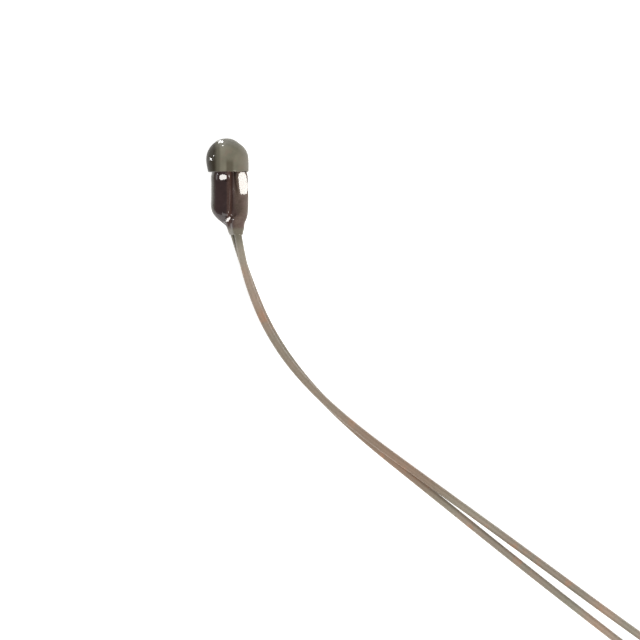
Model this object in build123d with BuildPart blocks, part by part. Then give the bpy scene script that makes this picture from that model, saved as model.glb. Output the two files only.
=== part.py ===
from build123d import *

import os
from math import cos, pi, radians, sin, tan

os.makedirs("parts", exist_ok=True)

# A resin-dipped NTC thermistor with two enamelled copper leads, lying on a flat surface.
# Millimetres. The sensing end points along +Y, the surface is z = 0, and the origin lies
# under the middle of the resin coat.

# Lead wire: enamelled copper, stripped inside the resin and tinned at the free end.
wire_diameter = 0.30
core_diameter = 0.25
tinned_diameter = 0.28
tinned_length = 4.0
tip_rounding = 0.8
bend_share = 0.45

# Ceramic die, standing on edge between the two stripped wire ends.
die_size = 0.80
die_thickness = 0.50
die_x = 0.16
die_y = 1.06
die_corner = 0.04
electrode_thickness = 0.03
electrode_margin = 0.05

# Solder that holds each stripped end on its electrode.
solder_film = 0.02
solder_radius = 0.30
solder_height = 0.20
overlap_on_die = 0.20

# Dome of resin over the die, leaning towards the left wire, with a slightly drawn-in skirt.
resin_beside_wire = 0.135
resin_over_die = 0.325
cap_y = 1.075
cap_lean = 6.5
cap_skirt_inset = 0.055
cap_skirt_drop = 0.62
cap_skirt_flare = 0.1
ledge_y = 0.57
ledge_round = 0.05

# Resin over the two wires below the dome, and the neck that it ends in.
left_bend_y = -0.92
right_bend_y = -0.80
left_neck_run = 0.28
right_neck_run = 0.20
neck_end_y = -1.925
groove_shift = 0.08
crest_shift = 0.07
shift_share = 0.25
resin_skin = 0.045

# Where the stripped ends stand beside the die, and the dome's size around them and the die.
wire_offset = die_thickness / 2 + electrode_thickness + solder_film + core_diameter / 2
left_wire_x = die_x - wire_offset
right_wire_x = die_x + wire_offset
stripped_top_y = die_y + overlap_on_die
cap_width = 2 * (right_wire_x + core_diameter / 2 + resin_beside_wire)
cap_depth = die_size + 2 * resin_over_die

# Height of the middle of the dome above the surface.
head_z = cap_depth / 2

# Routes of the two leads, from where the enamel starts inside the neck to the tinned tip.
# The right wire passes over the left one below the neck, rides on it, and comes down
# beside it again past the second crossing.
left_route = [
    (0.20, -1.66, 0.49),
    (0.43, -2.458, 0.43),
    (0.883, -3.789, 0.34),
    (1.536, -5.40, 0.25),
    (2.476, -6.944, 0.18),
    (3.79, -8.51, 0.15),
    (5.499, -10.11, 0.15),
    (7.868, -12.007, 0.15),
    (11.45, -14.90, 0.15),
    (15.11, -17.77, 0.15),
    (18.35, -20.25, 0.15),
    (22.35, -22.46, 0.15),
    (26.65, -23.61, 0.15),
    (30.54, -23.75, 0.15),
    (32.53, -23.54, 0.15),
    (33.56, -23.32, 0.15),
]
right_route = [
    (0.374, -1.596, 0.75),
    (0.498, -2.442, 0.76),
    (0.817, -3.811, 0.67),
    (1.445, -5.44, 0.575),
    (2.404, -6.996, 0.505),
    (3.79, -8.51, 0.485),
    (5.581, -10.01, 0.46),
    (8.032, -11.793, 0.37),
    (11.73, -14.47, 0.15),
    (15.48, -17.24, 0.15),
    (18.81, -19.60, 0.15),
    (22.95, -21.36, 0.15),
    (27.33, -21.82, 0.15),
    (31.19, -21.27, 0.15),
    (33.10, -20.69, 0.15),
    (34.07, -20.28, 0.15),
]

# Resin outside the wires at each station of the body: the station's height along Y, then
# the resin on the left, on the right, in front of the left wire and in front of the right
# one, the fall from the left ridge to the crest beside the groove, and the groove's depth
# below the right ridge.
body_stations = [
    (ledge_y, 0.20, 0.05, 0.33, 0.33, 0.01, 0.205),
    (0.40, 0.235, 0.085, 0.26, 0.275, 0.01, 0.165),
    (0.15, 0.23, 0.09, 0.225, 0.195, 0.01, 0.11),
    (-0.15, 0.23, 0.10, 0.225, 0.10, 0.015, 0.06),
    (-0.45, 0.23, 0.11, 0.225, 0.055, 0.02, 0.06),
    (-0.85, 0.235, 0.125, 0.215, 0.05, 0.03, 0.06),
    (-1.10, 0.30, 0.205, 0.20, 0.07, 0.04, 0.04),
    (-1.35, 0.285, 0.26, 0.14, 0.08, 0.02, 0.02),
    (-1.47, 0.18, 0.23, 0.10, 0.07, 0.01, 0.01),
    (-1.60, 0.05, 0.185, 0.085, 0.075, 0.01, 0.01),
    (-1.78, 0.055, 0.11, 0.065, 0.065, 0.0, 0.0),
    (neck_end_y, resin_skin, 0.065, resin_skin, resin_skin, 0.0, 0.0),
]


def rounded_path(points):
    """Straight runs joined by arcs, each as large as its two runs allow."""
    runs = [b - a for a, b in zip(points, points[1:])]
    radii = [
        bend_share * min(first.length, second.length) / tan(radians(first.get_angle(second) / 2))
        for first, second in zip(runs, runs[1:])
    ]
    return points, radii


def before(route, distance):
    """The point a distance before the start of a route, in line with its first run."""
    start, second = Vector(*route[0]), Vector(*route[1])
    return start - (second - start).normalized() * distance


def point_at(points, y):
    """The point of a falling line of points at one height along Y."""
    for above, below in zip(points, points[1:]):
        if above.Y >= y >= below.Y:
            return above + (below - above) * ((above.Y - y) / (above.Y - below.Y))
    return points[0]


left_bare_points = [
    Vector(left_wire_x, stripped_top_y, head_z),
    Vector(left_wire_x, left_bend_y, head_z),
    before(left_route, left_neck_run),
    Vector(*left_route[0]),
]
right_bare_points = [
    Vector(right_wire_x, stripped_top_y, head_z),
    Vector(right_wire_x, right_bend_y, head_z),
    before(right_route, right_neck_run),
    Vector(*right_route[0]),
]

# Ceramic die with lightly rounded edges.
with BuildPart() as ceramic_die:
    with Locations((die_x, die_y, head_z)):
        Box(die_thickness, die_size, die_size)
    fillet(ceramic_die.edges().filter_by(Axis.X), die_corner)

# Fired silver electrodes, one on each large face of the die.
electrode_size = die_size - 2 * electrode_margin


def electrode(side):
    """A thin plate on the die's face; side is -1 on the left and 1 on the right."""
    middle_x = die_x + side * (die_thickness + electrode_thickness) / 2
    with BuildPart() as plate:
        with Locations((middle_x, die_y, head_z)):
            Box(electrode_thickness, electrode_size, electrode_size)
    return plate


electrode_left = electrode(-1)
electrode_right = electrode(1)


def wire_part(points, diameter):
    """A round wire along straight runs and arcs, with square ends."""
    corners, radii = rounded_path(points)
    with BuildPart() as wire:
        with BuildLine() as path:
            FilletPolyline(*corners, radius=radii)
        with BuildSketch(Plane(origin=path.line @ 0, z_dir=path.line % 0)):
            Circle(diameter / 2)
        sweep()
    return wire, path.wire().length, radii


# Stripped copper ends, from the die down to the neck.
bare_end_left, _, _ = wire_part(left_bare_points, core_diameter)
bare_end_right, _, _ = wire_part(right_bare_points, core_diameter)


def solder_joint(side, wire):
    """A low dome of solder on an electrode, with the stripped end lying through it."""
    face_x = die_x + side * (die_thickness / 2 + electrode_thickness)
    foot, rim = (face_x, die_y), (face_x, die_y + solder_radius)
    crown = (face_x + side * solder_height, die_y)
    ball_radius = (solder_radius**2 + solder_height**2) / (2 * solder_height)
    with BuildPart() as joint:
        with BuildSketch(Plane.XY.offset(head_z)):
            with BuildLine():
                RadiusArc(rim, crown, side * ball_radius)
                Polyline(crown, foot, rim)
            make_face()
        revolve(axis=Axis((face_x, die_y, head_z), (1, 0, 0)))
        add(wire.part, mode=Mode.SUBTRACT)
    return joint


solder_joint_left = solder_joint(-1, bare_end_left)
solder_joint_right = solder_joint(1, bare_end_right)

# Enamelled leads.
left_corners = [Vector(*point) for point in left_route]
right_corners = [Vector(*point) for point in right_route]
lead_wire_left, left_length, left_radii = wire_part(left_corners, wire_diameter)
lead_wire_right, right_length, right_radii = wire_part(right_corners, wire_diameter)


def tinned_tip(corners):
    """The stripped and tinned end of a lead, with a rounded drop of tin at its tip."""
    direction = (corners[-1] - corners[-2]).normalized()
    radius = tinned_diameter / 2
    with BuildPart() as tip:
        with BuildSketch(Plane(origin=corners[-1], z_dir=direction)):
            Circle(radius)
        extrude(amount=tinned_length)
        fillet(tip.faces().sort_by(Axis(corners[-1], direction))[-1].edges(), tip_rounding * radius)
    return tip


tinned_tip_left = tinned_tip(left_corners)
tinned_tip_right = tinned_tip(right_corners)

# Dome over the die: a turned form, flattened to its depth and cut off square at the ledge.
cap_radius = cap_width / 2
skirt_radius = cap_radius - cap_skirt_inset
with BuildPart() as cap:
    with BuildSketch(Plane.XY) as cap_profile:
        with BuildLine():
            CenterArc((0, 0), cap_radius, 0, 90)
            Line((0, cap_radius), (0, -cap_skirt_drop))
            Line((0, -cap_skirt_drop), (skirt_radius, -cap_skirt_drop))
            Spline(
                (skirt_radius, -cap_skirt_drop),
                (cap_radius, 0),
                tangents=[(cap_skirt_flare, 1), (0, 1)],
            )
        make_face()
    revolve(axis=Axis.Y)
leaning = Location((0, cap_y, 0), (0, 0, cap_lean))
cap_form = cap.part.moved(leaning).scale((1, 1, cap_depth / cap_width), about=(0, 0, 0))
with BuildPart() as dome:
    with Locations((0, 0, head_z)):
        add(cap_form)
    split(bisect_by=Plane.XZ.offset(-ledge_y), keep=Keep.BOTTOM)
    fillet(dome.edges().group_by(Axis.Y)[0], ledge_round)

# Centre lines of the two wires through the whole coat.
left_line = left_bare_points + left_corners[1:]
right_line = right_bare_points + right_corners[1:]


def body_section(y, wall_left, wall_right, front_left, front_right, crest_fall, groove_depth):
    """The front and back halves of the section at one station, each with two ridges."""
    left, right = point_at(left_line, y), point_at(right_line, y)
    left, right = Vector(left.X, left.Z), Vector(right.X, right.Z)
    gap = (right - left).length
    across = (right - left).normalized()
    front = Vector(-across.Y, across.X)
    radius = wire_diameter / 2
    middle = (left + right) / 2
    groove = middle + across * min(groove_shift, shift_share * gap)
    crest = middle - across * min(crest_shift, shift_share * gap)
    groove_height = front * (radius + front_right - groove_depth)
    crest_height = front * (radius + front_left - crest_fall)

    def round_wire(wire, wall, height, angle):
        """A point of the outline round one wire, at an angle from across the pair."""
        out = across * (radius + resin_skin) + Vector(wall - resin_skin, 0)
        return wire + out * cos(radians(angle)) + front * (radius + height) * sin(radians(angle))

    front_half = [
        *[round_wire(left, wall_left, front_left, angle) for angle in (180, 135, 90)],
        crest + crest_height,
        groove + groove_height,
        *[round_wire(right, wall_right, front_right, angle) for angle in (90, 45, 0)],
    ]
    back_half = [
        *[round_wire(right, wall_right, front_right, angle) for angle in (0, -45, -90)],
        groove - groove_height,
        crest - crest_height,
        *[round_wire(left, wall_left, front_left, angle) for angle in (-90, -135, -180)],
    ]
    return (front_half, [front, -front]), (back_half, [-front, front])


# Resin coat: the dome and the two-ridged body with its neck, dipped as one piece around
# the die, the solder and the wires.
with BuildPart() as resin_coat:
    for station in body_stations:
        with BuildSketch(Plane.XZ.offset(-station[0])):
            with BuildLine():
                for points, tangents in body_section(*station):
                    Spline(*points, tangents=tangents)
            make_face()
    loft()
    add(dome.part)
    for inner in (
        ceramic_die,
        electrode_left,
        electrode_right,
        solder_joint_left,
        solder_joint_right,
        bare_end_left,
        bare_end_right,
        wire_part(left_corners[:3], wire_diameter)[0],
        wire_part(right_corners[:3], wire_diameter)[0],
    ):
        add(inner.part, mode=Mode.SUBTRACT)

pieces = {
    "resin_coat": resin_coat,
    "ceramic_die": ceramic_die,
    "electrode_left": electrode_left,
    "electrode_right": electrode_right,
    "solder_joint_left": solder_joint_left,
    "solder_joint_right": solder_joint_right,
    "bare_end_left": bare_end_left,
    "bare_end_right": bare_end_right,
    "lead_wire_left": lead_wire_left,
    "lead_wire_right": lead_wire_right,
    "tinned_tip_left": tinned_tip_left,
    "tinned_tip_right": tinned_tip_right,
}
for name, piece in pieces.items():
    piece.part.label = name
    export_step(piece.part, f"parts/{name}.step")

for name, length, radii, wire in (
    ("left", left_length, left_radii, lead_wire_left),
    ("right", right_length, right_radii, lead_wire_right),
):
    section = pi * (wire_diameter / 2) ** 2
    print(name, "lead", round(length, 3), "mm, volume over section times length",
          round(wire.part.volume / (section * length), 5))
    print(name, "bend radii", [round(radius, 1) for radius in radii])
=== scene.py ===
from math import atan2, cos, degrees, exp, pi, radians, sin, tan

import bpy
import numpy as np
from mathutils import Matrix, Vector


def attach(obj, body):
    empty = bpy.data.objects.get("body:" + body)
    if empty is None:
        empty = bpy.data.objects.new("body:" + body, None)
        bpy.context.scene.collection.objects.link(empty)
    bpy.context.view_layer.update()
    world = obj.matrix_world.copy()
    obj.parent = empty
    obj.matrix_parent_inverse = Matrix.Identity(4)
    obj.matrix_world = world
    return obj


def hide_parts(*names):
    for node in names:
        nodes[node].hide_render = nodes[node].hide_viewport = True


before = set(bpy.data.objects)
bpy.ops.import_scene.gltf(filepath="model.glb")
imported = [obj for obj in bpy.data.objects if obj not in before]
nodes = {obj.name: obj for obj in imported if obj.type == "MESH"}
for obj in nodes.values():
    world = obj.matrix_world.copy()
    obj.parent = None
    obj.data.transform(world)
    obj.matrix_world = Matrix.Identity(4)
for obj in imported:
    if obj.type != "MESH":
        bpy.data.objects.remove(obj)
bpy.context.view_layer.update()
scene = bpy.context.scene
scene.view_settings.view_transform = "Standard"

MM = 0.001
PIXEL = 0.04                      # millimetres of the object to one pixel of the picture
ORIGIN_PIXEL = (227.6, 186.875)   # the origin's place in the picture
PICTURE = 640

# Camera: straight down on the part.
CAMERA_HEIGHT = 250.0
CLIP_START = 10.0
SENSOR = 36.0
view_width = PICTURE * PIXEL
camera_data = bpy.data.cameras.new("camera")
camera_data.sensor_width = SENSOR
camera_data.lens = SENSOR * CAMERA_HEIGHT / view_width
camera_data.clip_start = CLIP_START * MM
camera = bpy.data.objects.new("camera", camera_data)
camera.location = (
    (PICTURE / 2 - ORIGIN_PIXEL[0]) * PIXEL * MM,
    (ORIGIN_PIXEL[1] - PICTURE / 2) * PIXEL * MM,
    CAMERA_HEIGHT * MM,
)
scene.collection.objects.link(camera)
scene.camera = camera

# Leads: the routes of the two wires, in millimetres, as they lie in the CAD model.
WIRE_DIAMETER = 0.30
LEFT_ROUTE = [
    (0.20, -1.66, 0.49),
    (0.43, -2.458, 0.43),
    (0.883, -3.789, 0.34),
    (1.536, -5.40, 0.25),
    (2.476, -6.944, 0.18),
    (3.79, -8.51, 0.15),
    (5.499, -10.11, 0.15),
    (7.868, -12.007, 0.15),
    (11.45, -14.90, 0.15),
    (15.11, -17.77, 0.15),
    (18.35, -20.25, 0.15),
    (22.35, -22.46, 0.15),
    (26.65, -23.61, 0.15),
    (30.54, -23.75, 0.15),
    (32.53, -23.54, 0.15),
    (33.56, -23.32, 0.15),
]
RIGHT_ROUTE = [
    (0.374, -1.596, 0.75),
    (0.498, -2.442, 0.76),
    (0.817, -3.811, 0.67),
    (1.445, -5.44, 0.575),
    (2.404, -6.996, 0.505),
    (3.79, -8.51, 0.485),
    (5.581, -10.01, 0.46),
    (8.032, -11.793, 0.37),
    (11.73, -14.47, 0.15),
    (15.48, -17.24, 0.15),
    (18.81, -19.60, 0.15),
    (22.95, -21.36, 0.15),
    (27.33, -21.82, 0.15),
    (31.19, -21.27, 0.15),
    (33.10, -20.69, 0.15),
    (34.07, -20.28, 0.15),
]


def lead(name, route, node):
    """One enamelled wire as a smooth curve along its route."""
    curve = bpy.data.curves.new(name, "CURVE")
    curve.dimensions = "3D"
    curve.bevel_depth = 1.0           # the points carry the wire's radius
    curve.bevel_resolution = 6
    curve.resolution_u = 16
    curve.use_fill_caps = True
    spline = curve.splines.new("NURBS")
    spline.points.add(len(route) - 1)
    for point, place in zip(spline.points, route):
        point.co = (*[value * MM for value in place], 1)
        point.radius = WIRE_DIAMETER / 2 * MM
    spline.order_u = 3
    spline.use_endpoint_u = True
    wire = bpy.data.objects.new(name, curve)
    scene.collection.objects.link(wire)
    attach(wire, "root")
    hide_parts(node)
    return wire


wire_left = lead("enamelled_lead_left", LEFT_ROUTE, "lead_wire_left")
wire_right = lead("enamelled_lead_right", RIGHT_ROUTE, "lead_wire_right")

# Resin coat, in millimetres: the same dome and two-ridged body as the CAD model, finer.
HEAD_Z = 0.725
DOME_RADIUS = 0.845
DOME_DEPTH_SHARE = 1.45 / 1.69
DOME_Y = 1.075
DOME_LEAN = radians(6.5)
SKIRT_RADIUS = 0.79
SKIRT_DROP = 0.62
SKIRT_FLARE = 0.1
LEDGE_Y = 0.57
LEDGE_ROUND = 0.05
SHOULDER_CUT = 0.045               # the dome's right shoulder is a little low
SHOULDER_AT = 46
SHOULDER_SPREAD = 20
SEARCH_LOW = -1.2 * SKIRT_DROP
SEARCH_HIGH = 0.9 * DOME_RADIUS
HALVINGS = 40
NECK_END_Y = -1.925
GROOVE_SHIFT = 0.08
CREST_SHIFT = 0.07
SHIFT_SHARE = 0.25
RESIN_SKIN = 0.045
# Each wire inside the coat: beside the die, at its bend and in the neck.
WIRE_TOP_Y = 1.26
LEFT_X, LEFT_BEND_Y, LEFT_NECK = -0.265, -0.92, (0.123, -1.392, 0.510)
RIGHT_X, RIGHT_BEND_Y, RIGHT_NECK = 0.585, -0.80, (0.345, -1.398, 0.748)
LEFT_LINE = [(LEFT_X, WIRE_TOP_Y, HEAD_Z), (LEFT_X, LEFT_BEND_Y, HEAD_Z), LEFT_NECK]
LEFT_LINE += LEFT_ROUTE[:3]
RIGHT_LINE = [(RIGHT_X, WIRE_TOP_Y, HEAD_Z), (RIGHT_X, RIGHT_BEND_Y, HEAD_Z), RIGHT_NECK]
RIGHT_LINE += RIGHT_ROUTE[:3]
# Height along Y, then the resin on the left, on the right, in front of the left wire and in
# front of the right one, the fall to the crest beside the groove, and the groove's depth.
BODY_STATIONS = [
    (LEDGE_Y, 0.20, 0.05, 0.33, 0.33, 0.01, 0.205),
    (0.40, 0.235, 0.085, 0.26, 0.275, 0.01, 0.165),
    (0.15, 0.23, 0.09, 0.225, 0.195, 0.01, 0.11),
    (-0.15, 0.23, 0.10, 0.225, 0.10, 0.015, 0.06),
    (-0.45, 0.23, 0.11, 0.225, 0.055, 0.02, 0.06),
    (-0.85, 0.235, 0.125, 0.215, 0.05, 0.03, 0.06),
    (-1.10, 0.30, 0.205, 0.20, 0.07, 0.04, 0.04),
    (-1.35, 0.285, 0.26, 0.14, 0.08, 0.02, 0.02),
    (-1.47, 0.18, 0.23, 0.10, 0.07, 0.01, 0.01),
    (-1.60, 0.05, 0.185, 0.085, 0.075, 0.01, 0.01),
    (-1.78, 0.055, 0.11, 0.065, 0.065, 0.0, 0.0),
    (NECK_END_Y, RESIN_SKIN, 0.065, RESIN_SKIN, RESIN_SKIN, 0.0, 0.0),
]
# Flat faces where the wet resin sagged: the middle in X and Y, half the length and half the
# breadth, the turn of the length from X, the way the face leans and how far, in degrees.
BODY_FACES = [
    (0.63, 0.15, 0.50, 0.23, 97, 309, 22),
    (-0.17, 0.36, 0.20, 0.13, 0, 309, 20),
    (-0.04, -0.88, 0.13, 0.20, 0, 270, 5),
    (0.03, -1.32, 0.17, 0.07, 48, 309, 22),
]
DOME_FACES = [
    (-0.26, 1.78, 0.16, 0.09, 10, 108, 41),
    (-0.65, 1.08, 0.08, 0.08, 0, 166, 38),
]
FACE_SOFT_FROM = 0.7
FACE_SOFT_TO = 1.5
FRONT_FROM_Z = HEAD_Z - 0.1
AROUND = 192
BODY_RINGS = 150
DOME_RINGS = 90
RIM_RINGS = 6
LEDGE_SHARES = (0.35, 0.7, 0.9)


def point_at(line, y):
    """X and Z of a falling line of points at one height along Y."""
    for above, below in zip(line, line[1:]):
        if above[1] >= y >= below[1]:
            share = (above[1] - y) / (above[1] - below[1])
            return np.array([above[i] + (below[i] - above[i]) * share for i in (0, 2)])
    return np.array([line[0][0], line[0][2]])


def section(y, wall_left, wall_right, front_left, front_right, crest_fall, groove_depth):
    """The points that the outline of one station goes through."""
    left, right = point_at(LEFT_LINE, y), point_at(RIGHT_LINE, y)
    gap = np.linalg.norm(right - left)
    across = (right - left) / gap
    front = np.array([-across[1], across[0]])
    radius = WIRE_DIAMETER / 2
    middle = (left + right) / 2
    groove = middle + across * min(GROOVE_SHIFT, SHIFT_SHARE * gap)
    crest = middle - across * min(CREST_SHIFT, SHIFT_SHARE * gap)
    groove_height = front * (radius + front_right - groove_depth)
    crest_height = front * (radius + front_left - crest_fall)

    def round_wire(wire, wall, height, angle):
        out = across * (radius + RESIN_SKIN) + np.array([wall - RESIN_SKIN, 0.0])
        return wire + out * cos(radians(angle)) + front * (radius + height) * sin(radians(angle))

    return np.array([
        *[round_wire(left, wall_left, front_left, angle) for angle in (180, 135, 90)],
        crest + crest_height,
        groove + groove_height,
        *[round_wire(right, wall_right, front_right, angle) for angle in (90, 45, 0, -45, -90)],
        groove - groove_height,
        crest - crest_height,
        *[round_wire(left, wall_left, front_left, angle) for angle in (-90, -135)],
    ])


def cubic(knots, values, at):
    """Natural cubic spline through values at knots, read at the given places."""
    knots, values = np.asarray(knots, float), np.asarray(values, float)
    flat = values.reshape(len(knots), -1)
    step = np.diff(knots)
    slope = np.diff(flat, axis=0) / step[:, None]
    matrix = np.zeros((len(knots), len(knots)))
    right_side = np.zeros_like(flat)
    matrix[0, 0] = matrix[-1, -1] = 1
    for i in range(1, len(knots) - 1):
        matrix[i, i - 1:i + 2] = step[i - 1], 2 * (step[i - 1] + step[i]), step[i]
        right_side[i] = 6 * (slope[i] - slope[i - 1])
    bend = np.linalg.solve(matrix, right_side)
    at = np.asarray(at, float)
    i = np.clip(np.searchsorted(knots, at) - 1, 0, len(step) - 1)
    h = step[i][:, None]
    a, b = (knots[i + 1] - at)[:, None], (at - knots[i])[:, None]
    out = (
        (bend[i] * a**3 + bend[i + 1] * b**3) / (6 * h)
        + (flat[i] / h - bend[i] * h / 6) * a
        + (flat[i + 1] / h - bend[i + 1] * h / 6) * b
    )
    return out.reshape(len(at), *values.shape[1:])


def closed_outline(points):
    """AROUND points of a smooth closed line through the given points."""
    wrapped = np.concatenate([points[-4:], points, points[:5]])
    lengths = np.linalg.norm(np.diff(wrapped, axis=0), axis=1)
    knots = np.concatenate([[0], np.cumsum(lengths)])
    start, end = knots[4], knots[4 + len(points)]
    return cubic(knots, wrapped, np.linspace(start, end, AROUND, endpoint=False))


def dome_profile(axial):
    """The dome's radius at a distance along its axis above its widest place."""
    if axial >= 0:
        return (max(DOME_RADIUS**2 - axial**2, 0)) ** 0.5
    u = -axial / SKIRT_DROP
    return (
        DOME_RADIUS * (1 + 2 * u) * (1 - u) ** 2
        + SKIRT_RADIUS * u**2 * (3 - 2 * u)
        + SKIRT_FLARE * SKIRT_DROP * u**2 * (1 - u)
    )


def dome_point(axial, azimuth):
    """A point on the leaning, flattened dome."""
    radius = dome_profile(axial)
    x, z = radius * cos(azimuth), radius * sin(azimuth) * DOME_DEPTH_SHARE
    from_shoulder = (degrees(atan2(axial, x)) - SHOULDER_AT) / SHOULDER_SPREAD
    red_brown_stretch = 1 - SHOULDER_CUT * exp(-(from_shoulder**2))
    x, axial = x * red_brown_stretch, axial * red_brown_stretch
    return np.array([
        x * cos(DOME_LEAN) - axial * sin(DOME_LEAN),
        DOME_Y + x * sin(DOME_LEAN) + axial * cos(DOME_LEAN),
        HEAD_Z + z,
    ])


def axial_at(y, azimuth):
    """Where a line down the dome's side reaches one height along Y."""
    low, high = SEARCH_LOW, SEARCH_HIGH
    for _ in range(HALVINGS):
        middle = (low + high) / 2
        if dome_point(middle, azimuth)[1] > y:
            high = middle
        else:
            low = middle
    return (low + high) / 2


def flatten(rings, faces):
    """Draws the front of the rings towards each of the flat faces."""
    points = np.concatenate(rings)
    front = points[:, 2] > FRONT_FROM_Z
    for x, y, length, breadth, turn, azimuth, lean in faces:
        away = points - np.array([x, y, 0])
        distance = np.hypot(away[:, 0], away[:, 1])
        middle = points[np.argmin(np.where(front, distance, np.inf)), 2]
        along = away[:, 0] * cos(radians(turn)) + away[:, 1] * sin(radians(turn))
        aside = away[:, 1] * cos(radians(turn)) - away[:, 0] * sin(radians(turn))
        reach = ((along / length) ** 4 + (aside / breadth) ** 4) ** 0.25
        share = np.clip((FACE_SOFT_TO - reach) / (FACE_SOFT_TO - FACE_SOFT_FROM), 0, 1)
        share = np.where(front, share * share * (3 - 2 * share), 0)
        downhill = away[:, 0] * cos(radians(azimuth)) + away[:, 1] * sin(radians(azimuth))
        plane = middle - tan(radians(lean)) * downhill
        points[:, 2] += (plane - points[:, 2]) * share
    return np.split(points, len(rings))


def resin_rings():
    """Closed rings of points from the neck's end up to the top of the dome."""
    stations = BODY_STATIONS[::-1]
    outlines = np.array([closed_outline(section(*station)) for station in stations])
    heights = [station[0] for station in stations]
    places = np.linspace(NECK_END_Y, LEDGE_Y, BODY_RINGS)
    body = cubic(heights, outlines, places)
    rings = [
        np.column_stack([ring[:, 0], np.full(AROUND, y), ring[:, 1]])
        for y, ring in zip(places, body)
    ]
    round_top = rings[-1]
    rings = flatten(rings, BODY_FACES)
    top = rings[-1]
    rim_x = (DOME_Y - LEDGE_Y) * tan(DOME_LEAN)
    azimuths = [atan2((z - HEAD_Z) / DOME_DEPTH_SHARE, x - rim_x) for x, _, z in round_top]
    starts = [axial_at(LEDGE_Y + LEDGE_ROUND, azimuth) for azimuth in azimuths]
    sides = np.array([dome_point(axial, azimuth) for axial, azimuth in zip(starts, azimuths)])
    inward = np.array([rim_x, LEDGE_Y, HEAD_Z]) - sides
    inward[:, 1] = 0
    inward /= np.linalg.norm(inward, axis=1)[:, None]
    foot = sides + inward * LEDGE_ROUND
    foot[:, 1] = LEDGE_Y
    for share in LEDGE_SHARES:
        rings.append(top + (foot - top) * share)
    for i in range(RIM_RINGS + 1):
        turn = pi / 2 * i / RIM_RINGS
        ring = sides + inward * LEDGE_ROUND * (1 - sin(turn))
        ring[:, 1] = LEDGE_Y + LEDGE_ROUND * (1 - cos(turn))
        rings.append(ring)
    dome = []
    for i in range(1, DOME_RINGS):
        turn = i / DOME_RINGS
        ring = []
        for start, azimuth in zip(starts, azimuths):
            low = atan2(start, DOME_RADIUS)
            angle = low + (pi / 2 - low) * turn
            axial = DOME_RADIUS * sin(angle) if angle >= 0 else start * angle / low
            ring.append(dome_point(axial, azimuth))
        dome.append(np.array(ring))
    return rings + flatten(dome, DOME_FACES)


def ringed_mesh(name, rings, end):
    """A closed mesh of quads between rings, with a fan at the start and one to the end."""
    count = len(rings[0])
    points = np.concatenate([*rings, [rings[0].mean(axis=0)], [end]]) * MM
    faces = []
    for i in range(len(rings) - 1):
        for j in range(count):
            k = (j + 1) % count
            faces.append((i * count + j, i * count + k, (i + 1) * count + k, (i + 1) * count + j))
    bottom, top, base = len(rings) * count, len(rings) * count + 1, (len(rings) - 1) * count
    for j in range(count):
        k = (j + 1) % count
        faces.append((bottom, k, j))
        faces.append((top, base + j, base + k))
    mesh = bpy.data.meshes.new(name)
    mesh.from_pydata(points.tolist(), [], faces)
    mesh.validate()
    mesh.polygons.foreach_set("use_smooth", [True] * len(mesh.polygons))
    return mesh


resin_mesh = ringed_mesh("dipped_resin", resin_rings(), dome_point(DOME_RADIUS, 0))
resin = bpy.data.objects.new("dipped_resin", resin_mesh)
scene.collection.objects.link(resin)
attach(resin, "root")
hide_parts("resin_coat")


# Materials.
class Nodes:
    """Short calls for building one material's node tree."""

    def __init__(self, name):
        self.material = bpy.data.materials.new(name)
        self.material.use_nodes = True
        self.tree = self.material.node_tree
        self.tree.nodes.clear()
        self.output = self.tree.nodes.new("ShaderNodeOutputMaterial")

    def add(self, kind, inputs=(), **settings):
        node = self.tree.nodes.new(kind)
        for key, value in settings.items():
            setattr(node, key, value)
        for key, value in dict(inputs).items():
            self.set(node.inputs[key], value)
        return node

    def set(self, socket, value):
        if isinstance(value, bpy.types.NodeSocket):
            self.tree.links.new(value, socket)
        else:
            socket.default_value = value

    def ramp(self, factor, stops):
        node = self.add("ShaderNodeValToRGB", {"Fac": factor})
        elements = node.color_ramp.elements
        while len(elements) < len(stops):
            elements.new(1.0)
        for element, (place, colour) in zip(elements, stops):
            element.position = place
            element.color = (*colour, 1)
        return node.outputs["Color"]

    def mix(self, factor, first, second):
        node = self.add("ShaderNodeMix", data_type="RGBA")
        self.set(node.inputs[0], factor)
        self.set(node.inputs[6], first)
        self.set(node.inputs[7], second)
        return node.outputs[2]

    def map_range(self, value, low, high, to_low=0.0, to_high=1.0, smooth=True):
        limits = {0: value, 1: low, 2: high, 3: to_low, 4: to_high}
        node = self.add("ShaderNodeMapRange", limits)
        node.interpolation_type = "SMOOTHSTEP" if smooth else "LINEAR"
        return node.outputs[0]

    def math(self, operation, first, second=0.0):
        node = self.add("ShaderNodeMath", {0: first, 1: second}, operation=operation)
        return node.outputs[0]

    def position(self):
        """Object coordinates in millimetres, whole and split."""
        place = self.add("ShaderNodeTexCoord").outputs["Object"]
        scale = self.add("ShaderNodeVectorMath", {0: place, 3: 1 / MM}, operation="SCALE")
        split = self.add("ShaderNodeSeparateXYZ", {0: scale.outputs[0]})
        return scale.outputs[0], split.outputs

    def noise(self, vector, scale, detail=3.0, rough=0.5):
        inputs = {"Vector": vector, "Scale": scale, "Detail": detail, "Roughness": rough}
        return self.add("ShaderNodeTexNoise", inputs).outputs["Fac"]

    def bump(self, height, strength, distance):
        inputs = {"Height": height, "Strength": strength, "Distance": distance * MM}
        return self.add("ShaderNodeBump", inputs).outputs["Normal"]

    def shader(self, inputs):
        shader = self.add("ShaderNodeBsdfPrincipled", inputs)
        self.tree.links.new(shader.outputs[0], self.output.inputs["Surface"])
        return self.material


# Painted light: the dome's right side is painted lighter, as a broad sheen where the key light
# falls.
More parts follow.
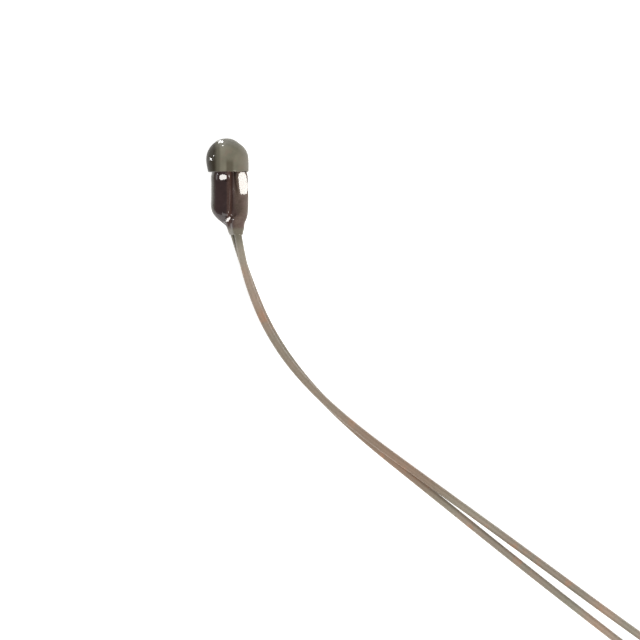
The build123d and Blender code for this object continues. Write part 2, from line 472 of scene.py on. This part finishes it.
DOME_RIGHT_PAINTED_SHEEN = (0.200, 0.178, 0.146, 1)
DOME_BLOTCH = (0.200, 0.162, 0.125, 1)
# Painted reflection: a cooler grey for the top of the dome, standing for the bluish rim light
# along its top edge.
DOME_TOP_PAINTED_RIM_LIGHT = (0.150, 0.145, 0.125, 1)
# Painted shade: the colour of a dark notch above the ledge, standing in for a groove that is not
# modelled.
DOME_NOTCH_PAINTED_SHADE = (0.085, 0.072, 0.048, 1)
DOME_SHADED = (0.108, 0.100, 0.073, 1)
# Painted shade: the colour of the dome's left side, away from the key light.
DOME_LEFT_PAINTED_SHADE = (0.026, 0.020, 0.011, 1)
BODY_BLOTCH = (0.150, 0.092, 0.086, 1)
BODY_RIGHT = (0.195, 0.155, 0.135, 1)
BODY_LEFT = (0.058, 0.050, 0.036, 1)
BODY_LOW = (0.130, 0.086, 0.075, 1)
NECK = (0.165, 0.145, 0.108, 1)


def resin_material():
    """Glossy resin: an olive dome over a body that goes from wine red to brown."""
    n = Nodes("dipped_resin")
    place, (x, y, _) = n.position()
    cloud = n.noise(place, 2.2, 4.0)
    fine = n.noise(place, 14.0, 3.0)
    blotch = n.noise(place, 3.4, 2.0)
    cap = n.map_range(y, LEDGE_Y - 0.01, LEDGE_Y + 0.04)
    cap_tone = n.ramp(cloud, [(0.3, (0.148, 0.140, 0.104)), (0.7, (0.200, 0.186, 0.140))])
    # Painted light: lighter towards the dome's right side, a broad sheen where the key light
    # falls.
    cap_tone = n.mix(n.map_range(x, 0.35, 0.75, 0.0, 0.7), cap_tone, DOME_RIGHT_PAINTED_SHEEN)
    cap_tone = n.mix(n.map_range(blotch, 0.52, 0.68, 0.0, 0.5), cap_tone, DOME_BLOTCH)
    # Painted reflection: the top of the dome turns cooler grey, standing for rim light along its
    # top edge.
    cap_tone = n.mix(n.map_range(y, 1.45, 1.85, 0.0, 0.7), cap_tone, DOME_TOP_PAINTED_RIM_LIGHT)
    # Painted shade: a dark notch down the middle of the dome's lower part to the ledge, in place
    # of a modelled groove.
    painted_notch_shade = n.math("MULTIPLY", n.map_range(x, -0.08, 0.02), n.map_range(x, 0.32, 0.18))
    painted_notch_shade = n.math("MULTIPLY", painted_notch_shade, n.map_range(y, 1.16, 0.90))
    cap_tone = n.mix(n.math("MULTIPLY", painted_notch_shade, 0.8), cap_tone, DOME_NOTCH_PAINTED_SHADE)
    # Painted shade: the dome's left side is painted dark, through a shaded band, as the side away
    # from the key light.
    cap_tone = n.mix(n.map_range(x, -0.36, -0.22), DOME_SHADED, cap_tone)
    cap_colour = n.mix(n.map_range(x, -0.54, -0.36), DOME_LEFT_PAINTED_SHADE, cap_tone)
    wine = n.ramp(cloud, [(0.3, (0.022, 0.010, 0.010)), (0.7, (0.036, 0.017, 0.016))])
    brown = n.ramp(fine, [(0.3, (0.105, 0.071, 0.054)), (0.7, (0.148, 0.106, 0.083))])
    brown = n.mix(n.map_range(blotch, 0.45, 0.65, 0.0, 0.5), brown, BODY_BLOTCH)
    brown = n.mix(n.map_range(x, 0.56, 0.80, 0.0, 0.6), brown, BODY_RIGHT)
    rust = n.ramp(fine, [(0.3, (0.052, 0.026, 0.020)), (0.7, (0.075, 0.038, 0.030))])
    crest = n.math("MULTIPLY", n.map_range(x, -0.06, 0.04), n.map_range(x, 0.20, 0.14))
    wine = n.mix(n.map_range(x, -0.44, -0.60), wine, BODY_LEFT)
    low = n.math("MULTIPLY", n.map_range(y, -0.95, -1.25, 0.0, 0.6), n.map_range(x, 0.08, 0.24))
    wine = n.mix(low, wine, BODY_LOW)
    body_colour = n.mix(n.map_range(x, 0.16, 0.42), n.mix(crest, wine, rust), brown)
    body_colour = n.mix(n.map_range(y, -1.58, -1.76), body_colour, NECK)
    return n.shader({
        "Base Color": n.mix(cap, body_colour, cap_colour),
        "Roughness": n.map_range(fine, 0.3, 0.7, 0.38, 0.5),
        "Specular IOR Level": 0.12,
        "Coat Weight": n.map_range(cap, 0.0, 1.0, 0.68, 0.12, smooth=False),
        "Coat Roughness": 0.05,
        "Coat IOR": 1.6,
        "Normal": n.bump(fine, 0.12, 0.01),
    })


ENAMEL_GREY = (0.275, 0.255, 0.20)
ENAMEL_BROWN = (0.325, 0.265, 0.21)
ENAMEL_RUST = (0.37, 0.27, 0.205)
# Tones for stretches along the wires: red-brown, warmer and greyer.
ENAMEL_RED_BROWN_STRETCH = (0.25, 0.165, 0.115, 1)
ENAMEL_WARM_STRETCH = (0.235, 0.180, 0.130, 1)
ENAMEL_GREY_STRETCH = (0.205, 0.182, 0.148, 1)
ENAMEL_SPOT = (0.40, 0.215, 0.13, 1)
ENAMEL_PALE = (0.30, 0.28, 0.225, 1)
ENAMEL_NECK = (0.18, 0.165, 0.12, 1)
ENAMEL_GRAIN = (0.15, 0.12, 0.085, 1)


def enamel_material():
    """Clear brown enamel over copper, with red-brown, warmer and greyer stretches and rusty
    spots.
    """
    n = Nodes("enamelled_copper")
    place, (_, y, _) = n.position()
    patches = n.noise(place, 0.55, 3.0)
    spots = n.noise(place, 1.1, 4.0, 0.6)
    grain = n.noise(place, 9.0, 3.0)
    tone = n.ramp(patches, [(0.36, ENAMEL_GREY), (0.5, ENAMEL_BROWN), (0.64, ENAMEL_RUST)])
    # Stretches along the wires: red-brown from 8.8 to 13.2 mm below the origin, warmer from 4.4
    # to 9.8 mm, greyer from 13.2 to 17 mm.
    red_brown_stretch = n.math("MULTIPLY", n.map_range(y, -8.8, -10.0), n.map_range(y, -13.2, -11.6))
    tone = n.mix(n.math("MULTIPLY", red_brown_stretch, 0.7), tone, ENAMEL_RED_BROWN_STRETCH)
    warm_stretch = n.math("MULTIPLY", n.map_range(y, -4.4, -5.4), n.map_range(y, -9.8, -8.8))
    tone = n.mix(n.math("MULTIPLY", warm_stretch, 0.4), tone, ENAMEL_WARM_STRETCH)
    grey_stretch = n.math("MULTIPLY", n.map_range(y, -13.2, -14.2), n.map_range(y, -17.0, -16.2))
    tone = n.mix(n.math("MULTIPLY", grey_stretch, 0.4), tone, ENAMEL_GREY_STRETCH)
    spots = n.map_range(spots, 0.57, 0.70, 0.0, 0.65)
    spots = n.math("MULTIPLY", spots, n.map_range(y, -2.8, -4.0))
    tone = n.mix(spots, tone, ENAMEL_SPOT)
    tone = n.mix(n.map_range(y, -3.8, -2.4, 0.0, 0.8), tone, ENAMEL_PALE)
    tone = n.mix(n.map_range(y, -2.6, -1.95), tone, ENAMEL_NECK)
    colour = n.mix(n.map_range(grain, 0.35, 0.75, 0.0, 0.3), tone, ENAMEL_GRAIN)
    return n.shader({
        "Base Color": colour,
        "Metallic": 0.15,
        "Roughness": n.map_range(grain, 0.3, 0.7, 0.42, 0.58),
        "Coat Weight": 0.2,
        "Coat Roughness": 0.4,
        "Normal": n.bump(grain, 0.15, 0.006),
    })


def metal_material(name, light, dark, roughness, scale):
    """A plain metal, a little clouded."""
    n = Nodes(name)
    place, _ = n.position()
    cloud = n.noise(place, scale, 3.0)
    return n.shader({
        "Base Color": n.ramp(cloud, [(0.3, dark), (0.7, light)]),
        "Metallic": 1.0,
        "Roughness": n.map_range(cloud, 0.3, 0.7, roughness, roughness * 1.5),
        "Normal": n.bump(cloud, 0.2, 0.01),
    })


def ceramic_material():
    """Dark sintered oxide with a fine grain."""
    n = Nodes("sintered_ceramic")
    place, _ = n.position()
    grain = n.noise(place, 30.0, 5.0, 0.7)
    return n.shader({
        "Base Color": n.ramp(grain, [(0.3, (0.055, 0.055, 0.06)), (0.7, (0.10, 0.10, 0.11))]),
        "Roughness": n.map_range(grain, 0.3, 0.7, 0.6, 0.8),
        "Normal": n.bump(grain, 0.3, 0.01),
    })


def wear(thing, material):
    """Gives an object one material in place of what it has."""
    thing.data.materials.clear()
    thing.data.materials.append(material)


wear(resin, resin_material())
enamel = enamel_material()
for wire in (wire_left, wire_right):
    wear(wire, enamel)
bare_copper = metal_material("bare_copper", (0.80, 0.45, 0.30), (0.62, 0.33, 0.22), 0.3, 6.0)
tin = metal_material("tin", (0.56, 0.56, 0.54), (0.38, 0.38, 0.37), 0.34, 3.0)
solder = metal_material("solder", (0.70, 0.70, 0.69), (0.52, 0.52, 0.52), 0.3, 8.0)
silver = metal_material("fired_silver", (0.80, 0.79, 0.76), (0.70, 0.69, 0.66), 0.45, 12.0)
ceramic = ceramic_material()
for node, material in {
    "ceramic_die": ceramic,
    "electrode_left": silver,
    "electrode_right": silver,
    "solder_joint_left": solder,
    "solder_joint_right": solder,
    "bare_end_left": bare_copper,
    "bare_end_right": bare_copper,
    "tinned_tip_left": tin,
    "tinned_tip_right": tin,
}.items():
    slots = nodes[node].material_slots
    if slots:
        slots[0].material = material
    else:
        nodes[node].data.materials.append(material)

# Floor: pale, and white to the camera and in reflections, with the part's shadow kept.
FLOOR_SIZE = 4.0
FLOOR_COLOUR = (0.86, 0.86, 0.85, 1)
FLOOR_GLOW = 0.7
WORLD_STRENGTH = 0.35
bpy.ops.mesh.primitive_plane_add(size=FLOOR_SIZE, location=(0, 0, 0))
floor = bpy.context.object
floor.name = "floor"
n = Nodes("floor")
rays = n.add("ShaderNodeLightPath").outputs
mirrored = n.math("MAXIMUM", rays["Is Glossy Ray"], rays["Is Transmission Ray"])
seen = n.math("MAXIMUM", rays["Is Camera Ray"], mirrored)
strength = n.math("MULTIPLY", seen, FLOOR_GLOW)
diffuse = n.add("ShaderNodeBsdfDiffuse", {"Color": FLOOR_COLOUR})
glow = n.add("ShaderNodeEmission", {"Color": (1, 1, 1, 1), "Strength": strength})
both = n.add("ShaderNodeAddShader", {0: diffuse.outputs[0], 1: glow.outputs[0]})
n.tree.links.new(both.outputs[0], n.output.inputs["Surface"])
floor.data.materials.append(n.material)

# World: plain soft light from all round.
world = bpy.data.worlds.new("world")
scene.world = world
world.use_nodes = True
tree = world.node_tree
tree.nodes.clear()
world_out = tree.nodes.new("ShaderNodeOutputWorld")
background = tree.nodes.new("ShaderNodeBackground")
background.inputs["Strength"].default_value = WORLD_STRENGTH
tree.links.new(background.outputs[0], world_out.inputs[0])

AIM = Vector((0.0, 0.0, 0.7)) * MM


def softbox(name, azimuth, elevation, distance, width, height, radiance, colour=(1, 1, 1)):
    """A rectangular lamp round the part; azimuth 0 is +X and 90 is +Y, sizes in millimetres."""
    data = bpy.data.lights.new(name, "AREA")
    data.shape = "RECTANGLE"
    data.size, data.size_y = width * MM, height * MM
    data.energy = radiance * pi * data.size * data.size_y
    data.color = colour
    lamp = bpy.data.objects.new(name, data)
    a, e = radians(azimuth), radians(elevation)
    out = Vector((cos(e) * cos(a), cos(e) * sin(a), sin(e)))
    lamp.location = AIM + out * distance * MM
    lamp.rotation_mode = "QUATERNION"
    lamp.rotation_quaternion = out.to_track_quat("Z", "Y")
    lamp.visible_camera = False
    scene.collection.objects.link(lamp)


LAMP_DISTANCE = 300
softbox("softbox_key", 309, 46, LAMP_DISTANCE, 110, 110, 22.0, (1.0, 0.98, 0.94))
softbox("glint_left", 166, 14, LAMP_DISTANCE, 28, 28, 125.0)
softbox("glint_top", 108, 9, LAMP_DISTANCE, 40, 40, 110.0)

bpy.context.view_layer.update()
